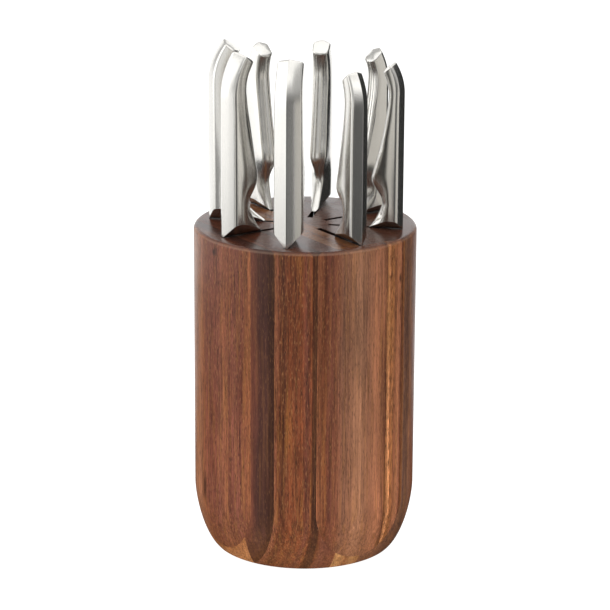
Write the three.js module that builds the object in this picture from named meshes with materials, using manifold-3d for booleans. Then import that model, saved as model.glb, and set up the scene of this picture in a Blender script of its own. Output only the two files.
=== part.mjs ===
import * as THREE from 'three';
import { mergeVertices } from 'three/addons/utils/BufferGeometryUtils.js';
import Module from 'manifold-3d';

// Knife block with knives. Millimetres, +Z up, the front of the block faces -Y.
// The block is a turned cylinder of glued acacia boards with eight radial slots,
// and one stainless steel knife hangs in each slot with its spine outward.

// Block
const blockRadius = 77.5;
const blockHeight = 234;
const padRadius = 59;
const padThickness = 1.5;
const padGap = 0.3;
const roundingHeight = 46;
const roundingInset = 17;
const roundingPower = 1.6;
const rimRadius = 3;
const glueGap = 0.3;
const roundSegments = 64;

// Slots and the wooden core around them
const slotCount = 8;
const firstSlotAngle = 259;
const slotStep = 360 / slotCount;
const slotOuterEnd = 68.6;
const slotInnerEnd = 16.2;
const shortSlotInnerEnd = 40;
const slotFloor = 24;
const narrowSlot = 3.6;
const wideSlot = 3.9;

// Knives
const knifeLift = 0.35;
const ridgeReach = 68.6;
const bladeSpineReach = 67.9;
const bladeThickness = 2.2;
const edgeThickness = 0.3;
const bolsterEdge = 2.4;
const bolsterSlope = 1.05;
const tangInner = 56;
const tangOuter = 64;
const tangHeight = 14;
const fitGap = 0.3;

const up = new THREE.Vector3(0, 0, 1);
const wasm = await Module();
wasm.setup();

// ---------- solids ----------

function toSolid(geometry) {
  const bare = new THREE.BufferGeometry();
  bare.setAttribute('position', geometry.getAttribute('position').clone());
  if (geometry.index) {
    bare.setIndex(geometry.index.clone());
  }
  const merged = mergeVertices(bare, 1e-4);
  const index = merged.index.array;
  const kept = [];
  for (let i = 0; i < index.length; i += 3) {
    const [a, b, c] = [index[i], index[i + 1], index[i + 2]];
    if (a !== b && b !== c && c !== a) {
      kept.push(a, b, c);
    }
  }
  const mesh = new wasm.Mesh({
    numProp: 3,
    vertProperties: Float32Array.from(merged.getAttribute('position').array),
    triVerts: Uint32Array.from(kept),
  });
  return new wasm.Manifold(mesh);
}

function toGeometry(solid) {
  const mesh = solid.getMesh();
  const geometry = new THREE.BufferGeometry();
  geometry.setAttribute('position', new THREE.BufferAttribute(Float32Array.from(mesh.vertProperties), 3));
  geometry.setIndex(new THREE.BufferAttribute(Uint32Array.from(mesh.triVerts), 1));
  const flat = geometry.toNonIndexed();
  flat.computeVertexNormals();
  return flat;
}

function box(low, high) {
  const size = high.map((value, axis) => value - low[axis]);
  const geometry = new THREE.BoxGeometry(...size);
  geometry.translate(low[0] + size[0] / 2, low[1] + size[1] / 2, low[2] + size[2] / 2);
  return geometry;
}

// A vertical slab between two distances from the block's axis, facing the given angle.
function slab(angle, near, far) {
  const geometry = box([near, -200, -10], [far, 200, 400]);
  geometry.rotateZ(THREE.MathUtils.degToRad(angle));
  return toSolid(geometry);
}

function beyond(angle, distance) {
  return slab(angle, distance, 200);
}

function within(angle, distance) {
  return slab(angle, -200, distance);
}

// An upright prism on a plan outline.
function prism(outline, bottom, top) {
  const shape = new THREE.Shape(outline);
  const geometry = new THREE.ExtrudeGeometry(shape, { depth: top - bottom, bevelEnabled: false });
  geometry.translate(0, 0, bottom);
  return toSolid(geometry);
}

function planPoint(angle, along, aside = 0) {
  const turn = THREE.MathUtils.degToRad(angle);
  return new THREE.Vector2(
    along * Math.cos(turn) - aside * Math.sin(turn),
    along * Math.sin(turn) + aside * Math.cos(turn),
  );
}

// Skins a row of rings that all have the same number of corners, and closes both ends.
function loft(rings) {
  const count = rings[0].length;
  const positions = rings.flat().flatMap((point) => [point.x, point.y, point.z]);
  const index = [];
  for (let ring = 0; ring < rings.length - 1; ring += 1) {
    for (let corner = 0; corner < count; corner += 1) {
      const next = (corner + 1) % count;
      const a = ring * count + corner;
      const b = ring * count + next;
      index.push(a, b, b + count, a, b + count, a + count);
    }
  }
  for (const [first, flip] of [[0, true], [(rings.length - 1) * count, false]]) {
    const outline = rings[first / count].map((point) => new THREE.Vector2(point.x, point.y));
    for (const face of THREE.ShapeUtils.triangulateShape(outline, [])) {
      const [a, b, c] = face.map((corner) => first + corner);
      index.push(a, ...(flip ? [c, b] : [b, c]));
    }
  }
  const geometry = new THREE.BufferGeometry();
  geometry.setAttribute('position', new THREE.Float32BufferAttribute(positions, 3));
  geometry.setIndex(index);
  return toSolid(geometry);
}

function material(color, roughness, metalness = 0) {
  return new THREE.MeshStandardMaterial({ color, roughness, metalness });
}

function addPiece(parent, name, solid, finish) {
  const mesh = new THREE.Mesh(toGeometry(solid), finish);
  mesh.name = name;
  parent.add(mesh);
}

// ---------- turned block ----------

// The block's radius at a height: upright wall above a soft rounding that runs in under the base.
function wallRadius(height) {
  if (height >= roundingHeight) {
    return blockRadius;
  }
  const down = 1 - height / roundingHeight;
  const left = (1 - down ** roundingPower) ** (1 / roundingPower);
  return blockRadius - roundingInset * (1 - left);
}

function turnedBlank() {
  const base = padThickness + padGap;
  const profile = [new THREE.Vector2(0, base)];
  const roundingSteps = 9;
  for (let step = 0; step <= roundingSteps; step += 1) {
    const share = (step / roundingSteps) ** 1.5;
    const height = base + (roundingHeight - base) * share;
    profile.push(new THREE.Vector2(wallRadius(height), height));
  }
  const rimSteps = 3;
  for (let step = 0; step <= rimSteps; step += 1) {
    const turn = (step / rimSteps) * Math.PI / 2;
    const radius = blockRadius - rimRadius * (1 - Math.cos(turn));
    profile.push(new THREE.Vector2(radius, blockHeight - rimRadius * (1 - Math.sin(turn))));
  }
  profile.push(new THREE.Vector2(0, blockHeight));
  const geometry = new THREE.LatheGeometry(profile, roundSegments);
  geometry.rotateX(Math.PI / 2);
  return toSolid(geometry);
}

const blank = turnedBlank();

const acacia = {
  reddish: material('#8a5037', 0.42),
  chocolate: material('#4b372f', 0.45),
  umber: material('#5b3626', 0.45),
  chestnut: material('#77492f', 0.42),
  golden: material('#bd8350', 0.42),
  tan: material('#99633f', 0.42),
  walnut: material('#63402c', 0.45),
  top: material('#5a4136', 0.4),
};

// Cap boards lie on every second flat side of the core. Each entry gives the slot whose side it
// covers and, for boards glued edge to edge, where it starts and ends across the core's stack.
const wide = 200;
const slotAngle = (place) => firstSlotAngle + place * slotStep;
const stackAngle = slotAngle(7);
const capBoards = [
  ['left_front_cap_board', 7, -wide, wide, acacia.reddish],
  ['right_front_cap_board', 1, -16.8, wide, acacia.chestnut],
  ['right_front_sapwood_strip', 1, -24.1, -16.8, acacia.golden],
  ['right_front_edge_strip', 1, -wide, -24.1, acacia.tan],
  ['right_back_cap_board', 3, -wide, wide, acacia.walnut],
  ['left_back_cap_board', 5, -12, wide, acacia.reddish],
  ['left_back_dark_strip', 5, -21, -12, acacia.chocolate],
  ['left_back_edge_strip', 5, -wide, -21, acacia.chestnut],
];

// Corner boards close the four sides between the caps.
const cornerBoards = [
  ['front_dark_board', 0, 58.8, wide, acacia.chocolate],
  ['front_middle_board', 0, 38.9, 58.8, acacia.chestnut],
  ['front_umber_strip', 0, -wide, 38.9, acacia.umber],
  ['right_umber_board', 2, -59.6, wide, acacia.umber],
  ['right_walnut_board', 2, -wide, -59.6, acacia.walnut],
  ['back_chestnut_board', 4, -59.6, wide, acacia.chestnut],
  ['back_walnut_board', 4, -wide, -59.6, acacia.walnut],
  ['left_walnut_board', 6, 58.8, wide, acacia.walnut],
  ['left_tan_board', 6, -wide, 58.8, acacia.tan],
];

function strip(solid, start, end) {
  const low = start === -wide ? start : start + glueGap / 2;
  const high = end === wide ? end : end - glueGap / 2;
  return solid.intersect(slab(stackAngle, low, high));
}

function addOuterBoards(parent) {
  for (const [name, side, start, end, finish] of capBoards) {
    const cap = blank.intersect(beyond(slotAngle(side), slotOuterEnd));
    addPiece(parent, name, strip(cap, start, end), finish);
  }
  for (const [name, side, start, end, finish] of cornerBoards) {
    let corner = blank.intersect(beyond(slotAngle(side), slotOuterEnd));
    for (const capSide of [side - 1, side + 1]) {
      corner = corner.intersect(within(slotAngle(capSide), slotOuterEnd - glueGap));
    }
    addPiece(parent, name, strip(corner, start, end), finish);
  }
}

// ---------- core ----------

const knifeSlots = Array.from({ length: slotCount }, (_, place) => ({
  angle: slotAngle(place),
  width: narrowSlot,
}));

// The slots of the two stouter knives are a little wider.
knifeSlots[1].width = wideSlot;
knifeSlots[4].width = wideSlot;
const shortSlot = knifeSlots[5];

// One wedge stands between each two slots. It is convex, so the slot beside it stays open.
function wedge(slot, nextSlot) {
  const reach = slotOuterEnd - glueGap;
  const middle = slot.angle + slotStep / 2;
  const half = THREE.MathUtils.degToRad(slotStep / 2);
  const postFace = slotInnerEnd * Math.cos(half) + glueGap;
  const wedgeFrom = (width) => (postFace - Math.sin(half) * width / 2) / Math.cos(half);
  return prism([
    planPoint(slot.angle, wedgeFrom(slot.width), slot.width / 2),
    planPoint(slot.angle, reach, slot.width / 2),
    planPoint(middle, reach / Math.cos(half)),
    planPoint(nextSlot.angle, reach, -nextSlot.width / 2),
    planPoint(nextSlot.angle, wedgeFrom(nextSlot.width), -nextSlot.width / 2),
  ], slotFloor, blockHeight);
}

function octagon(cornerReach, turnedBy) {
  return knifeSlots.map((slot) => planPoint(slot.angle + turnedBy, cornerReach));
}

function addCore(parent) {
  const coreNames = [
    'core_wedge_front_right', 'core_wedge_right_front', 'core_wedge_right_back', 'core_wedge_back_right',
    'core_wedge_back_left', 'core_wedge_left_back', 'core_wedge_left_front', 'core_wedge_front_left',
  ];
  knifeSlots.forEach((slot, place) => {
    const nextSlot = { ...knifeSlots[(place + 1) % slotCount], angle: slot.angle + slotStep };
    addPiece(parent, coreNames[place], wedge(slot, nextSlot), acacia.top.clone());
  });
  addPiece(parent, 'core_centre_post', prism(octagon(slotInnerEnd, 0), slotFloor, blockHeight), acacia.umber.clone());

  const fillerHalf = shortSlot.width / 2 - glueGap;
  const filler = [
    planPoint(shortSlot.angle, slotInnerEnd + glueGap, -fillerHalf),
    planPoint(shortSlot.angle, shortSlotInnerEnd, -fillerHalf),
    planPoint(shortSlot.angle, shortSlotInnerEnd, fillerHalf),
    planPoint(shortSlot.angle, slotInnerEnd + glueGap, fillerHalf),
  ];
  addPiece(parent, 'short_slot_filler', prism(filler, slotFloor, blockHeight), acacia.walnut.clone());

  const half = THREE.MathUtils.degToRad(slotStep / 2);
  const baseReach = (slotOuterEnd - glueGap) / Math.cos(half);
  const base = prism(octagon(baseReach, slotStep / 2), 0, slotFloor - glueGap).intersect(blank);
  const baseBoards = [
    ['base_board_left', 38.9, wide, acacia.golden.clone()],
    ['base_board_front', 19.5, 38.9, acacia.umber.clone()],
    ['base_board_middle', -24.1, 19.5, acacia.tan.clone()],
    ['base_board_right', -wide, -24.1, acacia.walnut.clone()],
  ];
  for (const [name, start, end, finish] of baseBoards) {
    addPiece(parent, name, strip(base, start, end), finish);
  }
}

function addPad(parent) {
  const geometry = new THREE.CylinderGeometry(padRadius, padRadius, padThickness, roundSegments);
  geometry.rotateX(Math.PI / 2);
  geometry.translate(0, 0, padThickness / 2);
  addPiece(parent, 'non_slip_pad', toSolid(geometry), material('#1c1a19', 0.85));
}

// ---------- knife handles ----------

// Side view of a handle: the ridge side is straight and then leans inward to the butt, the belly
// side has a pointed heel, a finger notch, a swell and a slim neck. Each pair gives a height and a
// width measured inward from the ridge line. shoulderHalf and flareHalf are half thicknesses, beside
// the ridge and at the flare above the bolster. Each flank is nearly flat for flankWidth inward from
// the ridge. The belly is bellyShare of the flank's thickness, and notchShare of it in the finger
// notch. The shoulders draw in by buttTaper towards the butt.
const buttTaper = 0.7;
const bellyShare = 0.84;
const notchShare = 0.4;
const largeHandle = {
  length: 128,
  shoulderHalf: 9.7,
  flareHalf: 10.3,
  flankWidth: 13.5,
  leanStart: 97,
  leanReach: 11.2,
  notch: [24, 21.4],
  swell: [40, 25.2],
  neck: [[56, 23.2], [76, 20.2], [95, 17.4], [108, 17.4], [118, 21.4], [132, 29]],
  endLow: [44.6, 118.9],
  endSlope: 0.68,
};
const mediumHandle = {
  length: 118,
  shoulderHalf: 7,
  flareHalf: 7.4,
  flankWidth: 12.5,
  leanStart: 94,
  leanReach: 8.6,
  notch: [21, 20.4],
  swell: [35, 24.8],
  neck: [[50, 22.6], [70, 19.4], [88, 16.8], [98, 16.6], [109, 19.6], [121, 26.5]],
  endLow: [49.8, 110.5],
  endSlope: 0.76,
};
const slimHandle = {
  length: 118,
  shoulderHalf: 6.8,
  flareHalf: 7,
  flankWidth: 12.5,
  leanStart: 95,
  leanReach: 7.4,
  notch: [20, 14.9],
  swell: [34, 21.8],
  neck: [[45, 19.8], [60, 16.1], [80, 12.4], [93, 11.1], [101, 12], [110, 15.4], [121, 21]],
  endLow: [53, 109.6],
  endSlope: 0.82,
};
const boningHandle = {
  ...slimHandle,
  notch: [20, 18.4],
  swell: [34, 23.6],
  neck: [[45, 22], [60, 19], [80, 15.8], [93, 14.6], [101, 15], [110, 18], [121, 23.5]],
  endLow: [51.4, 109.4],
};

function handleRing(handle, height, width) {
  const lean = Math.max(0, height - handle.leanStart) / (handle.length - handle.leanStart);
  const ridge = ridgeReach - handle.leanReach * lean ** 2.1;
  const belly = ridgeReach - width;
  const flare = 1 - THREE.MathUtils.smoothstep(height, 20, 95);
  const taper = THREE.MathUtils.smoothstep(height, 80, handle.length);
  const shoulderHalf = handle.shoulderHalf - buttTaper * taper;
  const sideHalf = THREE.MathUtils.lerp(shoulderHalf - 0.3, handle.flareHalf, flare);
  const flankEnd = Math.min(handle.flankWidth, 0.82 * (ridge - belly));
  const notchFade = THREE.MathUtils.smoothstep(height, 22, 38);
  const bellyHalf = sideHalf * THREE.MathUtils.lerp(notchShare, bellyShare, notchFade);
  const half = [
    [ridge - 0.52 * shoulderHalf, shoulderHalf - 0.5],
    [ridge - 0.52 * shoulderHalf - 1.8, shoulderHalf],
    [ridge - flankEnd, sideHalf],
    [belly + 1.5, bellyHalf],
    [belly + 0.4, 0.6 * bellyHalf],
  ];
  const outline = [[ridge, 0], ...half, [belly, 0]];
  const mirrored = half.map(([reach, aside]) => [reach, -aside]).reverse();
  return [...outline, ...mirrored].map(([reach, aside]) => new THREE.Vector3(reach, aside, height));
}

// The underside of the bolster is a steep V that narrows to the thickness of the blade.
function bolsterTrim() {
  const half = bolsterEdge / 2;
  const tall = 60;
  const shape = new THREE.Shape([
    new THREE.Vector2(-half, 0),
    new THREE.Vector2(half, 0),
    new THREE.Vector2(half + tall / bolsterSlope, tall),
    new THREE.Vector2(half + tall / bolsterSlope, 200),
    new THREE.Vector2(-half - tall / bolsterSlope, 200),
    new THREE.Vector2(-half - tall / bolsterSlope, tall),
  ]);
  const geometry = new THREE.ExtrudeGeometry(shape, { depth: 100, bevelEnabled: false });
  geometry.rotateX(Math.PI / 2);
  geometry.rotateZ(Math.PI / 2);
  return toSolid(geometry);
}

function endFaceTrim(handle) {
  const geometry = box([-200, -50, -300], [200, 50, 0]);
  geometry.rotateY(-Math.atan(handle.endSlope));
  geometry.translate(handle.endLow[0], 0, handle.endLow[1]);
  return toSolid(geometry);
}

function handleSolid(handle, heelWidth) {
  const [notchHeight, notchWidth] = handle.notch;
  const heelFlare = heelWidth - notchWidth;
  const side = [
    [0, heelWidth],
    [0.3 * notchHeight, notchWidth + 0.5 * heelFlare],
    [0.65 * notchHeight, notchWidth + 0.12 * heelFlare],
    handle.notch,
    handle.swell,
    ...handle.neck,
  ];
  const spline = new THREE.SplineCurve(side.map(([height, width]) => new THREE.Vector2(height, width)));
  const rings = spline.getPoints(20).map((point) => handleRing(handle, point.x, point.y));
  const pocket = toSolid(box(
    [tangInner - fitGap, -bladeThickness / 2 - fitGap, -1],
    [tangOuter + fitGap, bladeThickness / 2 + fitGap, tangHeight + fitGap],
  ));
  return loft(rings).intersect(bolsterTrim()).intersect(endFaceTrim(handle)).subtract(pocket);
}

// ---------- knife blades ----------

// Blades run down from the bolster. heel is the width at the bolster and depth the full width.
// The spine drops over the last part of the blade and the edge curves up to meet it at the tip.
const bladeTypes = {
  carving: { length: 200, heel: 27, depth: 29, spineFrom: 0.75, edgeFrom: 0.6, tipShare: 0.35, scallop: 0 },
  chopping: { length: 130, heel: 31, depth: 38, spineFrom: 0.7, edgeFrom: 0.6, tipShare: 0.8, scallop: 0 },
  serrated: { length: 130, heel: 23.4, depth: 22.5, spineFrom: 0.8, edgeFrom: 0.75, tipShare: 0.5, scallop: 6 },
  boning: { length: 150, heel: 29, depth: 21, spineFrom: 0.5, edgeFrom: 0.55, tipShare: 0.2, scallop: 0 },
  santoku: { length: 170, heel: 37, depth: 46, spineFrom: 0.72, edgeFrom: 0.6, tipShare: 0.8, scallop: 0 },
  paring: { length: 90, heel: 25.5, depth: 21, spineFrom: 0.5, edgeFrom: 0.4, tipShare: 0.35, scallop: 0 },
  cooks: { length: 200, heel: 40, depth: 46, spineFrom: 0.55, edgeFrom: 0.35, tipShare: 0.3, scallop: 0 },
  bread: { length: 200, heel: 31.4, depth: 33, spineFrom: 0.9, edgeFrom: 0.88, tipShare: 0.55, scallop: 8 },
};

function bladeRing(blade, share) {
  const down = share * blade.length;
  const spineShare = Math.max(0, share - blade.spineFrom) / (1 - blade.spineFrom);
  const edgeShare = Math.max(0, share - blade.edgeFrom) / (1 - blade.edgeFrom);
  const tipWidth = 1.2;
  const usable = blade.depth - tipWidth;
  const spine = bladeSpineReach - usable * blade.tipShare * spineShare ** 2;
  const heelFade = THREE.MathUtils.smoothstep(down, 0, 14);
  const depth = THREE.MathUtils.lerp(blade.heel, blade.depth, heelFade);
  let edge = bladeSpineReach - depth + usable * (1 - blade.tipShare) * edgeShare ** 2;
  if (blade.scallop && down > 8 && edgeShare < 0.5) {
    edge += 0.9 * Math.sin(Math.PI * down / blade.scallop) ** 2;
  }
  const thick = bladeThickness / 2 * (1 - 0.5 * share);
  const shoulder = THREE.MathUtils.lerp(spine, edge, 0.35);
  const sharp = edgeThickness / 2;
  const outline = [
    [spine, thick], [shoulder, thick], [edge, sharp],
    [edge, -sharp], [shoulder, -thick], [spine, -thick],
  ];
  return outline.map(([reach, aside]) => new THREE.Vector3(reach, aside, -fitGap - down));
}

function bladeSolid(blade) {
  const steps = blade.scallop ? Math.round(blade.length / blade.scallop) * 3 : 22;
  const rings = [];
  for (let step = steps; step >= 0; step -= 1) {
    rings.push(bladeRing(blade, step / steps));
  }
  const tang = toSolid(box(
    [tangInner, -bladeThickness / 2 + 0.1, -6],
    [tangOuter, bladeThickness / 2 - 0.1, tangHeight],
  ));
  return loft(rings).add(tang);
}

// Slot by slot, anticlockwise from the front, seen from above.
const knives = [
  ['carving_knife', largeHandle, bladeTypes.carving],
  ['chopping_knife', mediumHandle, bladeTypes.chopping],
  ['serrated_knife', slimHandle, bladeTypes.serrated],
  ['boning_knife', boningHandle, bladeTypes.boning],
  ['santoku_knife', mediumHandle, bladeTypes.santoku],
  ['paring_knife', mediumHandle, bladeTypes.paring],
  ['cooks_knife', largeHandle, bladeTypes.cooks],
  ['bread_knife', largeHandle, bladeTypes.bread],
];

function addKnives(parent) {
  knives.forEach(([name, handle, blade], place) => {
    const knife = new THREE.Group();
    knife.position.z = blockHeight + knifeLift;
    knife.rotateOnAxis(up, THREE.MathUtils.degToRad(slotAngle(place)));
    addPiece(knife, `${name}_handle`, handleSolid(handle, blade.heel), material('#c4c3c1', 0.28, 1));
    addPiece(knife, `${name}_blade`, bladeSolid(blade), material('#cfd0d0', 0.22, 1));
    parent.add(knife);
  });
}

const part = new THREE.Group();
part.name = 'knife_block_with_knives';
addOuterBoards(part);
addCore(part);
addPad(part);
addKnives(part);

export default part;
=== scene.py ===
import math

import bmesh
import bpy
from mathutils import Matrix, Vector


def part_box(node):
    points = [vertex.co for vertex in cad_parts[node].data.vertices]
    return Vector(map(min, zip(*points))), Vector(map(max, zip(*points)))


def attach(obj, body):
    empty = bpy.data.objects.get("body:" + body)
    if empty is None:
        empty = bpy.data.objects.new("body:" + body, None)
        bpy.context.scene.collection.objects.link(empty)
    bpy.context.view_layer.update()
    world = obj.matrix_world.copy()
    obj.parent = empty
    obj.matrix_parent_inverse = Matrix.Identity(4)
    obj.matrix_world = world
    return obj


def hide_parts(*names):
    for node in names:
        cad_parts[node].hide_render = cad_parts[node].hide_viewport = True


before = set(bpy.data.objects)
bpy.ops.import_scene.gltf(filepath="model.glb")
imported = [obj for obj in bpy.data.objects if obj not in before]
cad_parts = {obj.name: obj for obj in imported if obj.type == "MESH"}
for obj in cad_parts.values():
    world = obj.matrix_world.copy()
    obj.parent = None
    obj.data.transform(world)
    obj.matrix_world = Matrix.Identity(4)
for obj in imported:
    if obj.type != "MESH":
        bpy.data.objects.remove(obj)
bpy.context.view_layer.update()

MM = 0.001

# ---------- sizes, in millimetres, as in the CAD model ----------

BLOCK_RADIUS = 77.5
BLOCK_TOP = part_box("core_centre_post")[1][2] / MM
SLOT_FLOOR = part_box("core_centre_post")[0][2] / MM
PAD_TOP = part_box("non_slip_pad")[1][2] / MM
PAD_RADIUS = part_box("non_slip_pad")[1][0] / MM
PAD_GAP = 0.3
ROUNDING_HEIGHT = 46.0
ROUNDING_INSET = 17.0
ROUNDING_POWER = 1.6
RIM_RADIUS = 3.0

SLOT_COUNT = 8
FIRST_SLOT = 259.0
SLOT_STEP = 360 / SLOT_COUNT
SLOT_INNER = 16.2
SLOT_OUTER = 68.5
SHORT_SLOT_INNER = 40.0
SHORT_SLOT = 5
WIDE_SLOTS = (1, 4)
WIDE_SLOT_HALF = 1.95
NARROW_SLOT_HALF = 1.8

# The caps stand on flats CAP_FACE from the axis, outside these slots. The core's boards are
# stacked along the angle STACK.
CAPS = (7, 1, 3, 5)
CAP_FACE = 68.6
STACK = FIRST_SLOT - SLOT_STEP
ALONG = STACK + 90
DARK_BOARD_FROM = 58.8
BASE_PIECE_ENDS = (25.6, 35.3)

KNIFE_LIFT = 0.35
RIDGE = 68.6
BLADE_SPINE = 67.9
BLADE_HALF = 1.1
BOLSTER_HALF = 1.2
BOLSTER_SLOPE = 1.05


def slot_angle(place):
    return FIRST_SLOT + place * SLOT_STEP


# ---------- mesh helpers ----------


def new_object(name, vertices, faces):
    mesh = bpy.data.meshes.new(name)
    mesh.from_pydata([Vector(v) * MM for v in vertices], [], faces)
    mesh.validate()
    obj = bpy.data.objects.new(name, mesh)
    bpy.context.scene.collection.objects.link(obj)
    return obj


def recalculate(obj):
    mesh = bmesh.new()
    mesh.from_mesh(obj.data)
    bmesh.ops.recalc_face_normals(mesh, faces=mesh.faces)
    mesh.to_mesh(obj.data)
    mesh.free()


def apply_modifiers(obj):
    graph = bpy.context.evaluated_depsgraph_get()
    evaluated = obj.evaluated_get(graph)
    finished = bpy.data.meshes.new_from_object(evaluated)
    finished.name = obj.name
    obj.modifiers.clear()
    obj.data = finished


def shade_smooth(obj, angle):
    for polygon in obj.data.polygons:
        polygon.use_smooth = True
    obj.data.set_sharp_from_angle(angle=math.radians(angle))


def bevel(obj, width, segments, angle):
    modifier = obj.modifiers.new("bevel", "BEVEL")
    modifier.width = width * MM
    modifier.segments = segments
    modifier.limit_method = "ANGLE"
    modifier.angle_limit = math.radians(angle)
    modifier.miter_outer = "MITER_ARC"
    apply_modifiers(obj)


def weight_normals(obj):
    for polygon in obj.data.polygons:
        polygon.use_smooth = True
    modifier = obj.modifiers.new("weighted", "WEIGHTED_NORMAL")
    modifier.keep_sharp = True
    modifier.weight = 60
    apply_modifiers(obj)


def revolve(name, profile, segments):
    """Turns a profile of (radius, height) about Z. It starts and ends on the axis."""
    vertices = [(0, 0, profile[0][1]), (0, 0, profile[-1][1])]
    rows = profile[1:-1]
    for radius, height in rows:
        for step in range(segments):
            turn = 2 * math.pi * step / segments
            vertices.append((radius * math.cos(turn), radius * math.sin(turn), height))
    faces = []
    for step in range(segments):
        following = (step + 1) % segments
        faces.append((0, 2 + following, 2 + step))
        for row in range(len(rows) - 1):
            low = 2 + row * segments
            high = low + segments
            faces.append((low + step, low + following, high + following, high + step))
        last = 2 + (len(rows) - 1) * segments
        faces.append((1, last + step, last + following))
    return new_object(name, vertices, faces)


# ---------- node helpers ----------


class Nodes:
    """A short way to add and link shader nodes in one material."""

    def __init__(self, name):
        self.material = bpy.data.materials.new(name)
        self.material.use_nodes = True
        self.tree = self.material.node_tree
        self.shader = self.tree.nodes["Principled BSDF"]

    def add(self, kind, inputs=None, **settings):
        node = self.tree.nodes.new(kind)
        for key, value in settings.items():
            setattr(node, key, value)
        for key, value in (inputs or {}).items():
            self.feed(node.inputs[key], value)
        return node

    def feed(self, socket, value):
        if isinstance(value, bpy.types.NodeSocket):
            self.tree.links.new(value, socket)
        else:
            socket.default_value = value

    def maths(self, operation, *values):
        node = self.add("ShaderNodeMath", operation=operation)
        for socket, value in zip(node.inputs, values):
            self.feed(socket, value)
        return node.outputs[0]

    def stretched(self, scale, offset=(0, 0, 0)):
        """Object coordinates, scaled by axis, so that noise can run long in one direction."""
        coordinates = self.add("ShaderNodeTexCoord").outputs["Object"]
        mapping = self.add("ShaderNodeMapping", {"Vector": coordinates})
        mapping.inputs["Scale"].default_value = scale
        mapping.inputs["Location"].default_value = offset
        return mapping.outputs[0]

    def noise(self, vector, scale, detail=3.0, roughness=0.5, distortion=0.0):
        inputs = {
            "Vector": vector,
            "Scale": scale,
            "Detail": detail,
            "Roughness": roughness,
            "Distortion": distortion,
        }
        return self.add("ShaderNodeTexNoise", inputs).outputs["Fac"]

    def remap(self, value, low, high, new_low, new_high):
        inputs = {
            "Value": value,
            "From Min": low,
            "From Max": high,
            "To Min": new_low,
            "To Max": new_high,
        }
        return self.add("ShaderNodeMapRange", inputs).outputs[0]

    def mix(self, kind, factor, first, second):
        node = self.add("ShaderNodeMix", data_type="RGBA", blend_type=kind)
        self.feed(node.inputs[0], factor)
        self.feed(node.inputs[6], first)
        self.feed(node.inputs[7], second)
        return node.outputs[2]

    def grey(self, value):
        node = self.add("ShaderNodeCombineColor")
        for socket in node.inputs[:3]:
            self.feed(socket, value)
        return node.outputs[0]

    def shade(self, colour, value, low, high, darkest, lightest):
        """Darkens and lightens a colour where a value runs from low to high."""
        return self.mix("MULTIPLY", 1.0, colour, self.grey(self.remap(value, low, high, darkest, lightest)))

    def ramp(self, value, stops):
        node = self.add("ShaderNodeValToRGB", {"Fac": value})
        elements = node.color_ramp.elements
        while len(elements) < len(stops):
            elements.new(0.5)
        for element, (position, colour) in zip(elements, stops):
            element.position = position
            element.color = colour
        return node.outputs[0]


def linear(colour):
    """An sRGB colour written as #rrggbb, as a linear RGBA."""
    channels = [int(colour[i : i + 2], 16) / 255 for i in (1, 3, 5)]
    return tuple(
        ((c + 0.055) / 1.055) ** 2.4 if c > 0.04045 else c / 12.92 for c in channels
    ) + (1.0,)


# ---------- wood ----------

STREAK_COLOUR = "#a06a30"
PORE_COLOUR = "#2e1a12"
FLECK_COLOUR = "#b07a4c"
KNOT_COLOUR = "#24150f"
OIL_TINT = "#ccbdb4"
OIL_COLOUR = "#46302a"
# The colour of the painted highlight on the rim.
RIM_HIGHLIGHT_COLOUR = "#a58a76"
END_GRAIN_COLOUR = "#b46f3a"
# The colour of the painted shade inside the slots.
SLOT_SHADE_COLOUR = "#20130e"


def slot_shade_mask(nodes, place, upward):
    """1 on the sawn walls of the slots, painted near black as the shade deep inside them, and 0 elsewhere."""
    flat = nodes.add("ShaderNodeVectorMath", {0: place}, operation="MULTIPLY")
    flat.inputs[1].default_value = (1, 1, 0)
    radius = nodes.add("ShaderNodeVectorMath", {0: flat.outputs[0]}, operation="LENGTH").outputs["Value"]
    height = nodes.add("ShaderNodeSeparateXYZ", {0: place}).outputs[2]
    inside = nodes.maths("LESS_THAN", radius, (SLOT_OUTER + 0.3) * MM)
    above = nodes.maths("GREATER_THAN", height, ROUNDING_HEIGHT * MM)
    sideways = nodes.maths("LESS_THAN", nodes.maths("ABSOLUTE", upward), 0.5)
    return nodes.maths("MULTIPLY", nodes.maths("MULTIPLY", inside, above), sideways)


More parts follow.
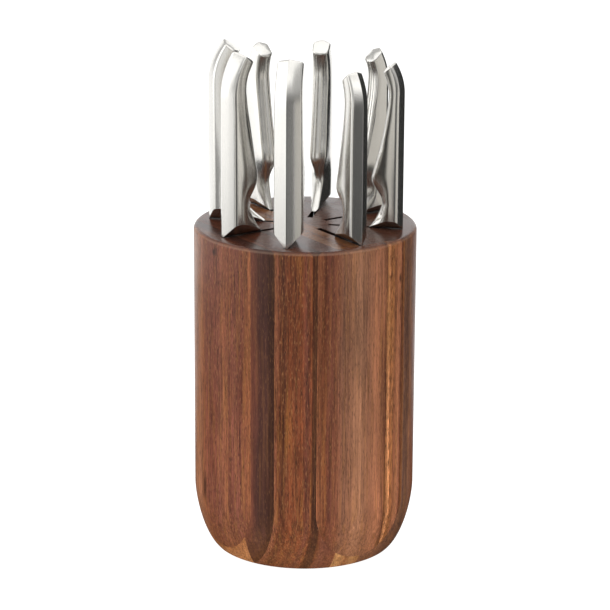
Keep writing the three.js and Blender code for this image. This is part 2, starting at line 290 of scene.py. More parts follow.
def wood_material(name, axis_angle, bands, seed, slotted, fibre_length, mottle, knots):
    """Oiled acacia with its grain along Z.

    bands are tones across the board, as (mm, tone). knots are dark places, each as
    (x, y, z, half width, half height) in mm.
    """
    nodes = Nodes(name)
    shift = (seed * 0.37, seed * 0.53, seed * 0.29)
    turn = math.radians(axis_angle)
    place = nodes.add("ShaderNodeTexCoord").outputs["Object"]
    across = nodes.add("ShaderNodeVectorMath", {0: place}, operation="DOT_PRODUCT")
    across.inputs[1].default_value = (math.cos(turn), math.sin(turn), 0)

    # The colour bands wander a little along the board.
    low, high = bands[0][0], bands[-1][0]
    slow = nodes.noise(nodes.stretched((1, 1, 0.16), shift), 42.0, 2.0, 0.5, 0.3)
    wander = nodes.remap(slow, 0.25, 0.75, -1.5 * MM, 1.5 * MM)
    fibre = nodes.noise(nodes.stretched((1, 1, fibre_length), shift), 1000.0, 4.0, 0.7)
    ragged = nodes.remap(fibre, 0.25, 0.75, -0.6 * MM, 0.6 * MM)
    where = nodes.maths("ADD", nodes.maths("ADD", across.outputs["Value"], wander), ragged)
    share = nodes.remap(where, low * MM, high * MM, 0.0, 1.0)
    colour = nodes.ramp(share, [((mm - low) / (high - low), linear(TONES[tone])) for mm, tone in bands])

    # Broad streaks, fibres, golden streaks and a slow change along the board.
    broad = nodes.noise(nodes.stretched((1, 1, 0.022), shift), 330.0, 3.0, 0.6)
    colour = nodes.shade(colour, broad, 0.3, 0.7, 0.74, 1.26)
    colour = nodes.shade(colour, fibre, 0.3, 0.7, 1 - 0.58 * mottle, 1 + 0.58 * mottle)
    golden = nodes.noise(nodes.stretched((1, 1, 0.03), (2, 5, 1)), 480.0, 3.0, 0.6)
    streak_mask = nodes.remap(golden, 0.5, 0.72, 0.0, 0.4 * mottle)
    colour = nodes.mix("MIX", streak_mask, colour, linear(STREAK_COLOUR))
    cloud = nodes.noise(nodes.stretched((1, 1, 0.5), shift), 26.0, 2.0, 0.5)
    colour = nodes.shade(colour, cloud, 0.3, 0.7, 0.9, 1.1)

    # Painted light and shade: the boards are painted lighter low down than under the rim, and painted darker
    # again toward the floor, to even out how the light falls on them.
    height = nodes.add("ShaderNodeSeparateXYZ", {0: place}).outputs[2]
    colour = nodes.shade(colour, height, 60 * MM, 190 * MM, 1.33, 0.85)
    colour = nodes.shade(colour, height, 5 * MM, 50 * MM, 0.55, 1.0)

    # Short dark pores and pale flecks: dashes on the sides, dots where the grain is cut across.
    pore = nodes.noise(nodes.stretched((1, 1, 0.12), shift), 2100.0, 1.0, 0.4)
    pore_mask = nodes.remap(pore, 0.56, 0.7, 0.0, 0.6 * mottle)
    colour = nodes.mix("MIX", pore_mask, colour, linear(PORE_COLOUR))
    fleck = nodes.noise(nodes.stretched((1, 1, 0.14), (3, 1, 2)), 1900.0, 1.0, 0.4)
    fleck_mask = nodes.remap(fleck, 0.58, 0.72, 0.0, 0.38 * mottle)
    colour = nodes.mix("MIX", fleck_mask, colour, linear(FLECK_COLOUR))

    for x, y, z, wide, tall in knots:
        apart = nodes.add("ShaderNodeVectorMath", {0: place}, operation="SUBTRACT")
        apart.inputs[1].default_value = (x * MM, y * MM, z * MM)
        scaled = nodes.add("ShaderNodeVectorMath", {0: apart.outputs[0]}, operation="MULTIPLY")
        scaled.inputs[1].default_value = (1 / (wide * MM), 1 / (wide * MM), 1 / (tall * MM))
        reach = nodes.add("ShaderNodeVectorMath", {0: scaled.outputs[0]}, operation="LENGTH").outputs["Value"]
        ruffled = nodes.maths("ADD", reach, nodes.remap(broad, 0.3, 0.7, -0.35, 0.35))
        colour = nodes.mix("MIX", nodes.remap(ruffled, 0.35, 1.2, 0.72, 0.0), colour, linear(KNOT_COLOUR))

    # The flat top drinks the most oil and is darker and browner.
    normal = nodes.add("ShaderNodeNewGeometry").outputs["Normal"]
    upward = nodes.add("ShaderNodeSeparateXYZ", {0: normal}).outputs[2]
    top_mask = nodes.remap(upward, 0.6, 0.98, 0.0, 1.0)
    oiled = nodes.mix("MULTIPLY", 1.0, colour, linear(OIL_TINT))
    oiled = nodes.mix("MIX", 0.4, oiled, linear(OIL_COLOUR))
    colour = nodes.mix("MIX", top_mask, colour, oiled)

    # Painted highlight: the turned rim is painted a little lighter, where its rounding would catch a sheen.
    highlight_starts = nodes.remap(upward, 0.2, 0.5, 0.0, 0.2)
    highlight_ends = nodes.remap(upward, 0.6, 0.9, 1.0, 0.0)
    rim = nodes.maths("MULTIPLY", highlight_starts, highlight_ends)
    colour = nodes.mix("MIX", rim, colour, linear(RIM_HIGHLIGHT_COLOUR))

    # Round the bottom the fibres are cut across, and the wood is mottled and more golden.
    end_grain = nodes.remap(upward, -0.04, -0.4, 0.0, 0.7)
    speckle = nodes.noise(nodes.stretched((1, 1, 0.5), shift), 800.0, 4.0, 0.7)
    cut_across = nodes.mix("MIX", 0.18, colour, linear(END_GRAIN_COLOUR))
    cut_across = nodes.shade(cut_across, speckle, 0.3, 0.7, 0.62, 1.6)
    colour = nodes.mix("MIX", end_grain, colour, cut_across)

    # Painted shade: the walls inside the slots are painted near black.
    if slotted:
        colour = nodes.mix("MIX", slot_shade_mask(nodes, place, upward), colour, linear(SLOT_SHADE_COLOUR))
    nodes.feed(nodes.shader.inputs["Base Color"], colour)

    gloss = nodes.noise(nodes.stretched((1, 1, 0.3), shift), 70.0, 3.0)
    rough = nodes.remap(gloss, 0.3, 0.7, 0.3, 0.4)
    rough = nodes.maths("ADD", rough, nodes.maths("MULTIPLY", pore_mask, 0.15))
    rough = nodes.maths("SUBTRACT", rough, nodes.maths("MULTIPLY", top_mask, 0.1))
    nodes.feed(nodes.shader.inputs["Roughness"], rough)
    relief = nodes.maths("SUBTRACT", nodes.maths("MULTIPLY", fibre, 0.5), pore_mask)
    bump = nodes.add("ShaderNodeBump", {"Height": relief, "Strength": 0.12, "Distance": 0.0002})
    nodes.feed(nodes.shader.inputs["Normal"], bump.outputs[0])
    nodes.shader.inputs["Specular IOR Level"].default_value = 0.21
    return nodes.material


def wall_radius(height):
    if height >= ROUNDING_HEIGHT:
        return BLOCK_RADIUS
    down = 1 - height / ROUNDING_HEIGHT
    left = (1 - down**ROUNDING_POWER) ** (1 / ROUNDING_POWER)
    return BLOCK_RADIUS - ROUNDING_INSET * (1 - left)


def blank_profile():
    base = PAD_TOP + PAD_GAP
    profile = [(0, base), (40, base)]
    steps = 26
    for step in range(steps + 1):
        height = base + (ROUNDING_HEIGHT - base) * (step / steps) ** 1.5
        profile.append((wall_radius(height), height))
    for height in (80, 120, 160, 200):
        profile.append((BLOCK_RADIUS, height))
    for step in range(9):
        turn = step / 8 * math.pi / 2
        radius = BLOCK_RADIUS - RIM_RADIUS * (1 - math.cos(turn))
        profile.append((radius, BLOCK_TOP - RIM_RADIUS * (1 - math.sin(turn))))
    profile.append((0, BLOCK_TOP))
    return profile


def slot_cutter():
    """All eight slots as one mesh of upright boxes."""
    vertices = []
    faces = []
    for place in range(SLOT_COUNT):
        half = WIDE_SLOT_HALF if place in WIDE_SLOTS else NARROW_SLOT_HALF
        inner = SHORT_SLOT_INNER if place == SHORT_SLOT else SLOT_INNER
        turn = Matrix.Rotation(math.radians(slot_angle(place)), 3, "Z")
        first = len(vertices)
        for height in (SLOT_FLOOR, BLOCK_TOP + 5):
            for along, aside in ((inner, -half), (SLOT_OUTER, -half), (SLOT_OUTER, half), (inner, half)):
                vertices.append(turn @ Vector((along, aside, height)))
        for corners in ((3, 2, 1, 0), (4, 5, 6, 7), (0, 1, 5, 4), (1, 2, 6, 5), (2, 3, 7, 6), (3, 0, 4, 7)):
            faces.append(tuple(first + corner for corner in corners))
    return new_object("slot_cutter", vertices, faces)


def base_cutter():
    """The golden base piece's place, left of the dark board and under the slots."""
    across = Matrix.Rotation(math.radians(STACK), 3, "Z")
    beyond = 90
    near_end, far_end = BASE_PIECE_ENDS
    plan = [(DARK_BOARD_FROM, -beyond), (beyond, -beyond), (beyond, far_end), (DARK_BOARD_FROM, near_end)]
    vertices = [across @ Vector((u, v, height)) for height in (-5, SLOT_FLOOR) for u, v in plan]
    faces = [(3, 2, 1, 0), (4, 5, 6, 7), (0, 1, 5, 4), (1, 2, 6, 5), (2, 3, 7, 6), (3, 0, 4, 7)]
    return new_object("base_cutter", vertices, faces)


def cut_board(name, blank, planes, cutters):
    """Keeps the part of the turned blank between vertical planes given as (angle, low, high)."""
    mesh = bmesh.new()
    mesh.from_mesh(blank.data)
    for angle, low, high in planes:
        turn = math.radians(angle)
        facing = Vector((math.cos(turn), math.sin(turn), 0))
        for limit, outward in ((high, facing), (low, -facing)):
            if limit is None:
                continue
            everything = list(mesh.verts) + list(mesh.edges) + list(mesh.faces)
            cut = bmesh.ops.bisect_plane(
                mesh,
                geom=everything,
                plane_co=facing * limit * MM,
                plane_no=outward,
                clear_outer=True,
            )
            rim = [item for item in cut["geom_cut"] if isinstance(item, bmesh.types.BMEdge)]
            bmesh.ops.edgeloop_fill(mesh, edges=rim)
    bmesh.ops.recalc_face_normals(mesh, faces=mesh.faces)
    data = bpy.data.meshes.new(name)
    mesh.to_mesh(data)
    mesh.free()
    board = bpy.data.objects.new(name, data)
    bpy.context.scene.collection.objects.link(board)
    for cutter, operation in cutters:
        modifier = board.modifiers.new("cut", "BOOLEAN")
        modifier.operation = operation
        modifier.solver = "EXACT"
        modifier.object = cutter
        apply_modifiers(board)
    shade_smooth(board, 32)
    return board


# The wood's tones, dark to light within each family.
TONES = {
    "espresso": "#3b2117",
    "cocoa": "#472a23",
    "ebony": "#48332d",
    "bark": "#532b19",
    "mahogany": "#65351f",
    "russet": "#69392a",
    "brick": "#744232",
    "rust": "#7a3f22",
    "chestnut": "#7b4730",
    "cinnamon": "#7f4a2e",
    "toffee": "#864f2a",
    "dark_walnut": "#5b3e32",
    "walnut": "#6c4838",
    "hazel": "#7a503b",
    "sienna": "#83553d",
    "almond": "#895d45",
    "caramel": "#956549",
    "copper": "#a36646",
    "ochre": "#955d36",
    "wheat": "#a46e40",
    "honey": "#b27749",
    "straw": "#bd8753",
    "amber": "#d48957",
}

# Each board: its name, the cap it belongs to (None for the core), its limits across the stack,
# a material slot name, and the tones across it.
BOARDS = [
    ("left_front_cap", 7, None, None, "acacia_reddish", [
        (-38, "almond"), (-17, "sienna"), (-11, "chestnut"), (-5, "russet"), (4, "russet"), (9, "brick"),
        (15, "chestnut"), (21, "russet"), (25, "brick"), (30, "russet"), (35, "cinnamon"),
    ]),
    ("right_front_cap", 1, -16.8, None, "acacia_chestnut", [
        (-16.8, "bark"), (-10, "copper"), (0, "sienna"), (6, "caramel"), (10, "caramel"), (15, "sienna"),
        (19, "hazel"), (24, "chestnut"), (28, "russet"), (31, "mahogany"), (35, "cinnamon"),
    ]),
    ("right_front_sapwood", 1, -24.1, -16.8, "acacia_golden", [
        (-24.1, "ochre"), (-20.5, "toffee"), (-19, "amber"), (-17.5, "honey"), (-16.8, "ochre"),
    ]),
    ("right_front_edge", 1, None, -24.1, "acacia_tan", [
        (-44, "chestnut"), (-39, "toffee"), (-36, "toffee"), (-33, "bark"), (-31.3, "chestnut"),
        (-30, "copper"), (-24.1, "cinnamon"),
    ]),
    ("right_back_cap", 3, None, None, "acacia_walnut", [
        (-37, "walnut"), (-25, "hazel"), (-12, "dark_walnut"), (-4, "almond"), (8, "walnut"),
        (16, "almond"), (28, "walnut"), (37, "hazel"),
    ]),
    ("left_back_cap", 5, -12, None, "acacia_reddish", [
        (-12, "brick"), (-3, "sienna"), (6, "walnut"), (15, "almond"), (24, "hazel"), (37, "sienna"),
    ]),
    ("left_back_dark_board", 5, -21, -12, "acacia_chocolate", [
        (-21, "ebony"), (-16, "dark_walnut"), (-12, "ebony"),
    ]),
    ("left_back_edge", 5, None, -21, "acacia_chestnut", [
        (-37, "hazel"), (-29, "almond"), (-21, "walnut"),
    ]),
    ("core_dark_board", None, 58.8, None, "acacia_chocolate", [
        (58.8, "espresso"), (60, "espresso"), (62.5, "cocoa"), (65, "cocoa"), (68.6, "russet"),
    ]),
    ("core_base_piece", None, 58.8, None, "acacia_golden", [
        (58.8, "wheat"), (63, "honey"), (68.6, "ochre"),
    ]),
    ("core_middle_board", None, 38.9, 58.8, "acacia_chestnut", [
        (38.9, "rust"), (42, "russet"), (45, "rust"), (48, "mahogany"), (51.5, "rust"), (53.4, "mahogany"),
        (54.2, "bark"), (56.2, "mahogany"), (57.3, "chestnut"), (58.8, "chestnut"),
    ]),
    ("core_umber_board", None, 19.5, 38.9, "acacia_umber", [
        (19.5, "chestnut"), (24, "russet"), (30, "brick"), (32.5, "mahogany"), (33.5, "espresso"),
        (36, "espresso"), (38.9, "bark"),
    ]),
    ("core_tan_board", None, -0.5, 19.5, "acacia_golden", [
        (-0.5, "wheat"), (6, "straw"), (11, "ochre"), (15, "straw"), (19.5, "straw"),
    ]),
    ("core_brown_board", None, -20.0, -0.5, "acacia_tan", [
        (-20, "walnut"), (-13, "hazel"), (-7, "walnut"), (-0.5, "hazel"),
    ]),
    ("core_walnut_board", None, -40.0, -20.0, "acacia_walnut", [
        (-40, "dark_walnut"), (-33, "walnut"), (-26, "dark_walnut"), (-20, "walnut"),
    ]),
    ("core_red_board", None, -59.6, -40.0, "acacia_umber", [
        (-59.6, "hazel"), (-53, "russet"), (-47, "hazel"), (-40, "dark_walnut"),
    ]),
    ("core_end_board", None, None, -59.6, "acacia_walnut", [
        (-68.6, "dark_walnut"), (-64, "walnut"), (-59.6, "dark_walnut"),
    ]),
]

# How the fibres run: their length share and how mottled they are, where not as usual.
FIBRES = {
    "core_dark_board": (0.06, 0.35),
    "right_front_cap": (0.03, 0.8),
    "right_front_sapwood": (0.12, 1.3),
    "core_umber_board": (0.05, 0.5),
    "core_tan_board": (0.05, 0.6),
}

# Dark places, as (x, y, z, half width, half height).
KNOTS = {
    "left_front_cap": [(-62.3, -46.1, 226, 2.5, 3.5), (-69.4, -34.6, 52, 3, 12)],
    "right_front_edge": [(71.5, -30, 190, 2.2, 12), (65, -42.2, 207, 2, 3.5)],
}


CAD_BOARDS = {
    "left_front_cap": ["left_front_cap_board"],
    "right_front_cap": ["right_front_cap_board"],
    "right_front_sapwood": ["right_front_sapwood_strip"],
    "right_front_edge": ["right_front_edge_strip"],
    "right_back_cap": ["right_back_cap_board"],
    "left_back_cap": ["left_back_cap_board"],
    "left_back_dark_board": ["left_back_dark_strip"],
    "left_back_edge": ["left_back_edge_strip"],
    "core_dark_board": ["front_dark_board", "left_walnut_board", "core_wedge_left_front"],
    "core_base_piece": ["base_board_left"],
    "core_middle_board": ["front_middle_board", "left_tan_board", "core_wedge_front_left"],
    "core_umber_board": ["front_umber_strip", "core_wedge_left_back", "base_board_front"],
    "core_tan_board": ["core_centre_post", "core_wedge_front_right", "base_board_middle"],
    "core_brown_board": ["core_wedge_back_left", "short_slot_filler"],
    "core_walnut_board": ["core_wedge_right_front", "base_board_right"],
    "core_red_board": ["right_umber_board", "back_chestnut_board", "core_wedge_right_back"],
    "core_end_board": ["right_walnut_board", "back_walnut_board", "core_wedge_back_right"],
}


def build_block():
    blank = revolve("turned_blank", blank_profile(), 240)
    recalculate(blank)
    slots = slot_cutter()
    recalculate(slots)
    base = base_cutter()
    recalculate(base)
    special_cuts = {
        "core_dark_board": [(slots, "DIFFERENCE"), (base, "DIFFERENCE")],
        "core_base_piece": [(base, "INTERSECT")],
    }
    for seed, (name, cap, low, high, slot_name, bands) in enumerate(BOARDS):
        planes = [(STACK, low, high)]
        if cap is None:
            planes += [(slot_angle(side), None, CAP_FACE) for side in CAPS]
        else:
            planes.append((slot_angle(cap), CAP_FACE, None))
        usual_cuts = [(slots, "DIFFERENCE")] if cap is None else []
        board = cut_board(name, blank, planes, special_cuts.get(name, usual_cuts))
        axis = ALONG if cap in (7, 3) else STACK
        fibre_length, mottle = FIBRES.get(name, (0.05, 1.0))
        knots = KNOTS.get(name, ())
        board.data.materials.clear()
        wood = wood_material(name, axis, bands, seed + 1, cap is None, fibre_length, mottle, knots)
        board.data.materials.append(wood)
        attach(board, "block")
        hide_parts(*CAD_BOARDS[name])
    for helper in (blank, slots, base):
        bpy.data.objects.remove(helper)


# ---------- pad ----------


def rubber_material():
    nodes = Nodes("pad_rubber")
    speckle = nodes.noise(nodes.stretched((1, 1, 1)), 900.0, 4.0, 0.6)
    nodes.feed(nodes.shader.inputs["Base Color"], nodes.ramp(speckle, [
        (0.3, linear("#141211")), (0.7, linear("#262321")),
    ]))
    nodes.feed(nodes.shader.inputs["Roughness"], nodes.remap(speckle, 0.2, 0.8, 0.7, 0.95))
    bump = nodes.add("ShaderNodeBump", {"Height": speckle, "Strength": 0.3, "Distance": 0.0002})
    nodes.feed(nodes.shader.inputs["Normal"], bump.outputs[0])
    return nodes.material


def build_pad():
    edge = 0.5
    profile = [(0, 0), (PAD_RADIUS - edge, 0)]
    for step in range(1, 5):
        turn = step / 4 * math.pi / 2
        profile.append((PAD_RADIUS - edge * (1 - math.sin(turn)), edge * (1 - math.cos(turn))))
    ceiling = PAD_TOP + PAD_GAP
    profile += [(PAD_RADIUS, PAD_TOP), (PAD_RADIUS - 2, ceiling), (0, ceiling)]
    pad = revolve("rubber_pad", profile, 128)
    recalculate(pad)
    shade_smooth(pad, 40)
    pad.data.materials.append(rubber_material())
    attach(pad, "block")
    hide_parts("non_slip_pad")


# ---------- knives ----------

LARGE = {
    "length": 128, "shoulder": 9.7, "flare": 10.3, "flank": 13.5, "lean_start": 97, "lean": 11.2,
    "notch": (24, 21.4), "swell": (40, 25.2),
    "neck": [(56, 23.2), (76, 20.2), (95, 17.4), (108, 17.4), (118, 21.4), (132, 29)],
    "end": (44.6, 118.9), "end_slope": 0.68,
}
MEDIUM = {
    "length": 118, "shoulder": 7.0, "flare": 7.4, "flank": 12.5, "lean_start": 94, "lean": 8.6,
    "notch": (21, 20.4), "swell": (35, 24.8),
    "neck": [(50, 22.6), (70, 19.4), (88, 16.8), (98, 16.6), (109, 19.6), (121, 26.5)],
    "end": (49.8, 110.5), "end_slope": 0.76,
}
SLIM = {
    "length": 118, "shoulder": 6.8, "flare": 7.0, "flank": 12.5, "lean_start": 95, "lean": 7.4,
    "notch": (20, 14.9), "swell": (34, 21.8),
    "neck": [(45, 19.8), (60, 16.1), (80, 12.4), (93, 11.1), (101, 12), (110, 15.4), (121, 21)],
    "end": (53, 109.6), "end_slope": 0.82,
}
BONING = dict(
    SLIM,
    notch=(20, 18.4),
    swell=(34, 23.6),
    neck=[(45, 22), (60, 19), (80, 15.8), (93, 14.6), (101, 15), (110, 18), (121, 23.5)],
    end=(51.4, 109.4),
)

# name, handle, blade length, width at the heel, full width, where the spine and the edge start to
# curve, the spine's share of the tip, and the pitch of any scallops.
KNIVES = [
    ("carving_knife", LARGE, 200, 27, 29, 0.75, 0.6, 0.35, 0),
    ("chopping_knife", MEDIUM, 130, 31, 38, 0.7, 0.6, 0.8, 0),
    ("serrated_knife", SLIM, 130, 23.4, 22.5, 0.8, 0.75, 0.5, 6),
    ("boning_knife", BONING, 150, 29, 21, 0.5, 0.55, 0.2, 0),
    ("santoku_knife", MEDIUM, 170, 37, 46, 0.72, 0.6, 0.8, 0),
    ("paring_knife", MEDIUM, 90, 25.5, 21, 0.5, 0.4, 0.35, 0),
    ("cooks_knife", LARGE, 200, 40, 46, 0.55, 0.35, 0.3, 0),
    ("bread_knife", LARGE, 200, 31.4, 33, 0.9, 0.88, 0.55, 8),
]


BUTT_TAPER = 0.7
BELLY_SHARE = 0.84
NOTCH_SHARE = 0.4
FACET_BULGE = 0.25


def smoothstep(value, low, high):
    share = min(max((value - low) / (high - low), 0.0), 1.0)
    return share * share * (3 - 2 * share)


def mixed(first, second, share):
    return first + (second - first) * share


def spline_points(points, steps):
    """A smooth curve through points, by Catmull and Rom, as a list of pairs."""
    curve = []
    last = len(points) - 1
    for step in range(steps + 1):
        place = step / steps * last
        index = min(int(place), last - 1)
        share = place - index
        around = [points[min(max(index + k, 0), last)] for k in (-1, 0, 1, 2)]
        pair = []
        for axis in (0, 1):
            a, b, c, d = (point[axis] for point in around)
            leaving = (c - a) / 2
            arriving = (d - b) / 2
            cubic = 2 * b - 2 * c + leaving + arriving
            square = -3 * b + 3 * c - 2 * leaving - arriving
            pair.append(cubic * share**3 + square * share**2 + leaving * share + b)
        curve.append(tuple(pair))
    return curve


def side_curve(handle, heel):
    height, width = handle["notch"]
    flare = heel - width
    points = [
        (0, heel),
        (0.3 * height, width + 0.5 * flare),
        (0.65 * height, width + 0.12 * flare),
        handle["notch"],
        handle["swell"],
        *handle["neck"],
    ]
    return spline_points(points, 400)


def width_at(curve, height):
    for (low, low_width), (high, high_width) in zip(curve, curve[1:]):
        if low <= height <= high:
            return mixed(low_width, high_width, (height - low) / (high - low))
    return curve[0][1] if height < curve[0][0] else curve[-1][1]


def rounded(corners, cuts, steps):
    """A path through corners, each cut back by its distance and bridged by a smooth curve."""
    path = [corners[0]]
    for i in range(1, len(corners) - 1):
        before, corner, after = (Vector(point) for point in corners[i - 1 : i + 2])
        back = before - corner
        ahead = after - corner
        start = corner + back.normalized() * min(cuts[i], back.length * 0.48)
        finish = corner + ahead.normalized() * min(cuts[i], ahead.length * 0.48)
        for step in range(steps + 1):
            t = step / steps
            path.append(tuple(start * (1 - t) ** 2 + corner * 2 * t * (1 - t) + finish * t * t))
    path.append(corners[-1])
    return path


def section(handle, curve, height):
    """Half of a handle's outline at a height, from the ridge to the belly, as (reach, aside)."""
    lean = max(0.0, height - handle["lean_start"]) / (handle["length"] - handle["lean_start"])
    ridge = RIDGE - handle["lean"] * lean**2.1
    belly = RIDGE - width_at(curve, height)
    wide = ridge - belly
    low = 1 - smoothstep(height, 20, 95)
    shoulder = handle["shoulder"] - BUTT_TAPER * smoothstep(height, 80, handle["length"])
    side = mixed(shoulder - 0.3, handle["flare"], low)
    flank_end = min(handle["flank"], 0.82 * wide)
    belly_half = side * mixed(NOTCH_SHARE, BELLY_SHARE, smoothstep(height, 22, 38))
    facet = 0.52 * shoulder + 0.5
    corners = [
        (ridge, 0),
        (ridge - 0.25, 0.6),
        (ridge - facet / 2 + FACET_BULGE, shoulder / 2 + 0.55 * FACET_BULGE),
        (ridge - facet, shoulder),
        (ridge - flank_end, side),
        (belly + 1.5, belly_half),
        (belly + 0.4, 0.6 * belly_half),
        (belly, 0),
    ]
    return rounded(corners, (0, 0.5, 4.0, 1.6, 5.0, 2.0, 1.5, 0), 4)


def settle(handle, curve, index, start, target):
    """The height where line number index of the outline meets the surface target gives."""
    height = start
    for _ in range(24):
        reach, aside = section(handle, curve, height)[index]
        height = mixed(height, target(reach, aside), 0.5)
    return height


BUTT_ROUNDING = 1.3
BUTT_DOME = 0.5


def butt_rings(ring, below, slope):
    """Rings that round over the butt's edge and close it with a slightly domed face."""
    count = len(ring)
    centre = sum((Vector(point) for point in ring), Vector()) / count
    outward = Vector((-slope, 0, 1)).normalized()
    rings = []
    for step in range(1, 6):
        turn = step / 5 * math.pi / 2
        inset = BUTT_ROUNDING * (1 - math.cos(turn))
        rise = math.sin(turn)
        row = []
        for low, high in zip(below, ring):
            point = Vector(low).lerp(Vector(high), rise)
            inward = centre - Vector(high)
            row.append(point + inward.normalized() * inset)
        rings.append(row)
    flat = rings[-1]
    for share in (0.86, 0.66, 0.4, 0.16):
        lift = outward * BUTT_DOME * (1 - share**2)
        rings.append([centre + (point - centre) * share + lift for point in flat])
    return rings


def handle_mesh(name, handle, heel):
    curve = side_curve(handle, heel)
    end_reach, end_height = handle["end"]

    def underside(reach, aside):
        return max(0.0, BOLSTER_SLOPE * (aside - BOLSTER_HALF))

    def end_face(reach, aside):
        return end_height + handle["end_slope"] * (reach - end_reach)

    lines = len(section(handle, curve, 0))
    lows = [settle(handle, curve, i, 0.0, underside) for i in range(lines)]
    highs = [settle(handle, curve, i, end_height, end_face) for i in range(lines)]
    rows = 60

    def ring_at(share, drop):
        half = []
        for i in range(lines):
            height = mixed(lows[i], highs[i] - drop, share)
            reach, aside = section(handle, curve, height)[i]
            half.append((reach, aside, height))
        return half + [(reach, -aside, height) for reach, aside, height in half[-2:0:-1]]

    rings = [ring_at(row / rows, BUTT_ROUNDING) for row in range(rows + 1)]
    rings += butt_rings(ring_at(1, 0), rings[-1], handle["end_slope"])
    count = len(rings[0])
    vertices = [tuple(point) for ring in rings for point in ring]
    faces = []
    for row in range(len(rings) - 1):
        for corner in range(count):
            following = (corner + 1) % count
            low = row * count
            faces.append((low + corner, low + following, low + count + following, low + count + corner))
    faces.append(tuple(range((len(rings) - 1) * count, len(rings) * count)))

    # The underside is a blunt V: ribs run across it from side to side.
    ribs = []
    for i in range(lines):
        reach, aside, _ = rings[0][i]
        mirror = (count - i) % count
        inner = min(aside, BOLSTER_HALF)
        first = len(vertices)
        vertices += [(reach, inner, 0), (reach, -inner, 0)]
        ribs.append((i, first, first + 1, mirror))
    for near, far in zip(ribs, ribs[1:]):
        for side in range(3):
            faces.append((near[side], near[side + 1], far[side + 1], far[side]))
    obj = new_object(name, vertices, faces)
    mesh = bmesh.new()
    mesh.from_mesh(obj.data)
    bmesh.ops.remove_doubles(mesh, verts=mesh.verts, dist=0.02 * MM)
    bmesh.ops.recalc_face_normals(mesh, faces=mesh.faces)
    mesh.to_mesh(obj.data)
    mesh.free()
    return obj


def steel_material(name, tint, rough_low, rough_high, grain):
    """Satin steel: fine scratches round the piece, uneven gloss and faint handling marks."""
    nodes = Nodes(name)
    ground = nodes.noise(nodes.stretched((0.06, 0.06, 1)), grain, 3.0, 0.6)
    drawn = nodes.noise(nodes.stretched((1, 1, 0.02)), grain * 0.5, 2.0, 0.5)
    cloud = nodes.noise(nodes.stretched((1, 1, 0.35)), 60.0, 3.0)
    brushed = nodes.maths("ADD", nodes.maths("MULTIPLY", ground, 0.6), nodes.maths("MULTIPLY", drawn, 0.4))
    colour = nodes.shade(linear(tint), brushed, 0.3, 0.7, 0.95, 1.04)
    colour = nodes.shade(colour, cloud, 0.3, 0.7, 0.97, 1.03)
    nodes.feed(nodes.shader.inputs["Base Color"], colour)
    nodes.shader.inputs["Metallic"].default_value = 1.0
    uneven = nodes.maths("ADD", brushed, nodes.maths("MULTIPLY", cloud, 0.5))
    nodes.feed(nodes.shader.inputs["Roughness"], nodes.remap(uneven, 0.5, 1.0, rough_low, rough_high))
    nodes.shader.inputs["Anisotropic"].default_value = 0.75
    upright = nodes.add("ShaderNodeCombineXYZ", {"Z": 1.0})
    nodes.feed(nodes.shader.inputs["Tangent"], upright.outputs[0])
    bump = nodes.add("ShaderNodeBump", {"Height": drawn, "Strength": 0.02, "Distance": 0.00002})
    nodes.feed(nodes.shader.inputs["Normal"], bump.outputs[0])
    return nodes.material


def blade_ring(knife, share):
    _, _, length, heel, depth, spine_from, edge_from, tip_share, scallop = knife
    down = share * length
    spine_share = max(0.0, share - spine_from) / (1 - spine_from)
    edge_share = max(0.0, share - edge_from) / (1 - edge_from)
    usable = depth - 1.2
    spine = BLADE_SPINE - usable * tip_share * spine_share**2
    wide = mixed(heel, depth, smoothstep(down, 0, 14))
    edge = BLADE_SPINE - wide + usable * (1 - tip_share) * edge_share**2
    if scallop and down > 8 and edge_share < 0.5:
        edge += 0.9 * math.sin(math.pi * down / scallop) ** 2
    thick = BLADE_HALF * (1 - 0.5 * share)
    grind = mixed(spine, edge, 0.35)
    bevel_line = min(edge + 1.4, mixed(edge, grind, 0.5))
    bevel_half = thick * 0.32
    half = [
        (spine, thick - 0.2),
        (spine - 0.2, thick),
        (grind, thick),
        (bevel_line, bevel_half),
        (edge, 0.06),
    ]
    mirrored = [(reach, -aside) for reach, aside in reversed(half)]
    return [(reach, aside, 0.4 - down * (length + 0.7) / length) for reach, aside in half + mirrored]


def blade_mesh(name, knife):
    length, scallop = knife[2], knife[8]
    rows = round(length / scallop) * 10 if scallop else 90
    rings = [blade_ring(knife, row / rows) for row in range(rows + 1)]
    count = len(rings[0])
    vertices = [point for ring in rings for point in ring]
    faces = [tuple(range(count)), tuple(range(rows * count, (rows + 1) * count))]
    for row in range(rows):
        for corner in range(count):
            following = (corner + 1) % count
            low = row * count
            faces.append((low + corner, low + following, low + count + following, low + count + corner))
    obj = new_object(name, vertices, faces)
    recalculate(obj)
    return obj


def place_knife(obj, place):
    turn = Matrix.Rotation(math.radians(slot_angle(place)), 4, "Z")
    lift = Matrix.Translation((0, 0, (BLOCK_TOP + KNIFE_LIFT) * MM))
    obj.data.transform(lift @ turn)


def build_knives():
    handle_steel = steel_material("handle_steel", "#d8d6d1", 0.19, 0.26, 2400.0)
    blade_steel = steel_material("blade_steel", "#d6d6d6", 0.18, 0.27, 3200.0)
    for place, knife in enumerate(KNIVES):
        name, handle, heel = knife[0], knife[1], knife[3]
        grip = handle_mesh(f"{name}_grip", handle, heel)
        bevel(grip, 0.3, 2, 35)
        weight_normals(grip)
        place_knife(grip, place)
        grip.data.materials.append(handle_steel)
        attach(grip, name)
        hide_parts(f"{name}_handle")
        blade = blade_mesh(f"{name}_ground_blade", knife)
        shade_smooth(blade, 12)
        place_knife(blade, place)
        blade.data.materials.append(blade_steel)
        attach(blade, name)
        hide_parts(f"{name}_blade")


# ---------- stage, light and camera, in metres ----------

WHITE = (1, 1, 1, 1)
WARM = (1, 0.965, 0.9, 1)
FLOOR_REACH = 6
FLOOR_HEIGHT = -0.0003

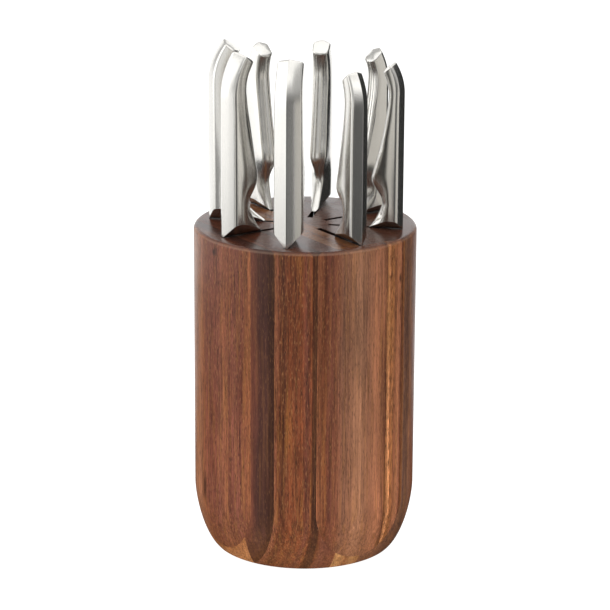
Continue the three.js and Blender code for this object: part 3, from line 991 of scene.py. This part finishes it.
# The low and high edges of the cards in front of the block, as (radius, height) in metres.
CARD_FOOT = (0.75, 0.0)
CARD_HEAD = (0.8, 0.26)


def stage_surface(name, vertices, faces, colour, roughness, glow=0.0, tint=WHITE):
    surface = new_object(name, [Vector(vertex) / MM for vertex in vertices], faces)
    nodes = Nodes(name)
    nodes.shader.inputs["Base Color"].default_value = (colour, colour, colour, 1.0)
    nodes.shader.inputs["Roughness"].default_value = roughness
    nodes.shader.inputs["Specular IOR Level"].default_value = 0.1
    nodes.shader.inputs["Emission Color"].default_value = tint
    nodes.shader.inputs["Emission Strength"].default_value = glow
    surface.data.materials.append(nodes.material)
    return surface


def around(azimuth, radius, height):
    """A place at a compass angle round the block: 0 is in front of it, 90 on its right."""
    turn = math.radians(azimuth)
    return (math.sin(turn) * radius, -math.cos(turn) * radius, height)


def flag(name, first, last, near, far, shade, glow=0.0, tint=WHITE):
    """A studio flag or card, from azimuth first to last, that shows only in reflections.

    near and far are its (radius, height) along its two long edges.
    """
    steps = 12
    vertices = []
    for step in range(steps + 1):
        azimuth = mixed(first, last, step / steps)
        vertices += [around(azimuth, *near), around(azimuth, *far)]
    faces = [(2 * i, 2 * i + 1, 2 * i + 3, 2 * i + 2) for i in range(steps)]
    card = stage_surface(name, vertices, faces, shade, 0.9, glow, tint)
    card.visible_camera = False
    card.visible_diffuse = False
    card.visible_shadow = False


def softbox(name, azimuth, radius, height, width, tall, radiance):
    """A rectangular light aimed at the middle of the object."""
    data = bpy.data.lights.new(name, "AREA")
    data.shape = "RECTANGLE"
    data.size = width
    data.size_y = tall
    data.energy = radiance * math.pi * width * tall
    lamp = bpy.data.objects.new(name, data)
    lamp.location = around(azimuth, radius, height)
    aim = Vector((0, 0, 0.25)) - lamp.location
    lamp.rotation_euler = aim.to_track_quat("-Z", "Y").to_euler()
    bpy.context.scene.collection.objects.link(lamp)


def build_stage():
    corners = ((-1, -1), (1, -1), (1, 1), (-1, 1))
    square = [(x * FLOOR_REACH, y * FLOOR_REACH, FLOOR_HEIGHT) for x, y in corners]
    stage_surface("floor", square, [(0, 1, 2, 3)], 0.3, 0.9, glow=1.0)
    flag("floor_flag", -145, 145, (0.062, 0.001), (0.78, 0.002), 0.01)
    flag("front_flag", -12, 24, CARD_FOOT, CARD_HEAD, 0.07)
    flag("shade_flag", 24, 35, CARD_FOOT, CARD_HEAD, 0.2)
    flag("back_card", 140, 220, (1.6, 0.2), (1.6, 1.1), 0.0, 1.4)
    flag("left_flag", -43, -31, CARD_FOOT, CARD_HEAD, 0.4)
    flag("horizon_flag", -4, 60, (1.5, 0.08), (1.5, 0.42), 0.03)
    flag("warm_left_card", -22, -12, CARD_FOOT, CARD_HEAD, 0.0, 0.9, WARM)
    flag("warm_right_card", 36, 78, CARD_FOOT, CARD_HEAD, 0.0, 0.82, WARM)
    flag("right_flag", 82, 148, (0.7, 0.0), (0.7, 0.7), 0.02)
    softbox("overhead", 0, 0.1, 1.6, 2.0, 2.0, 0.95)
    softbox("left", -85, 1.5, 0.75, 2.2, 1.5, 1.2)
    softbox("front_top", 15, 2.0, 1.5, 1.5, 0.9, 1.2)
    world = bpy.data.worlds.new("studio")
    world.use_nodes = True
    world.node_tree.nodes["Background"].inputs[0].default_value = WHITE
    world.node_tree.nodes["Background"].inputs[1].default_value = 0.6
    bpy.context.scene.world = world
    bpy.context.scene.view_settings.view_transform = "Standard"


CAMERA_DISTANCE = 1.978
CAMERA_ELEVATION = 16.72
CAMERA_AIM = Vector((0.0001, 0, 0.1747))
CAMERA_ROLL = 0.32
CAMERA_LENS = 166.5


def build_camera():
    data = bpy.data.cameras.new("camera")
    data.lens = CAMERA_LENS
    data.sensor_width = 36
    data.clip_end = 50
    camera = bpy.data.objects.new("camera", data)
    lift = math.radians(CAMERA_ELEVATION)
    away = Vector((0, -math.cos(lift), math.sin(lift)))
    camera.location = CAMERA_AIM + away * CAMERA_DISTANCE
    level = (-away).to_track_quat("-Z", "Y").to_matrix()
    roll = Matrix.Rotation(math.radians(CAMERA_ROLL), 3, "Z")
    camera.rotation_euler = (level @ roll).to_euler()
    bpy.context.scene.collection.objects.link(camera)
    bpy.context.scene.camera = camera


build_camera()
build_block()
build_pad()
build_knives()
build_stage()
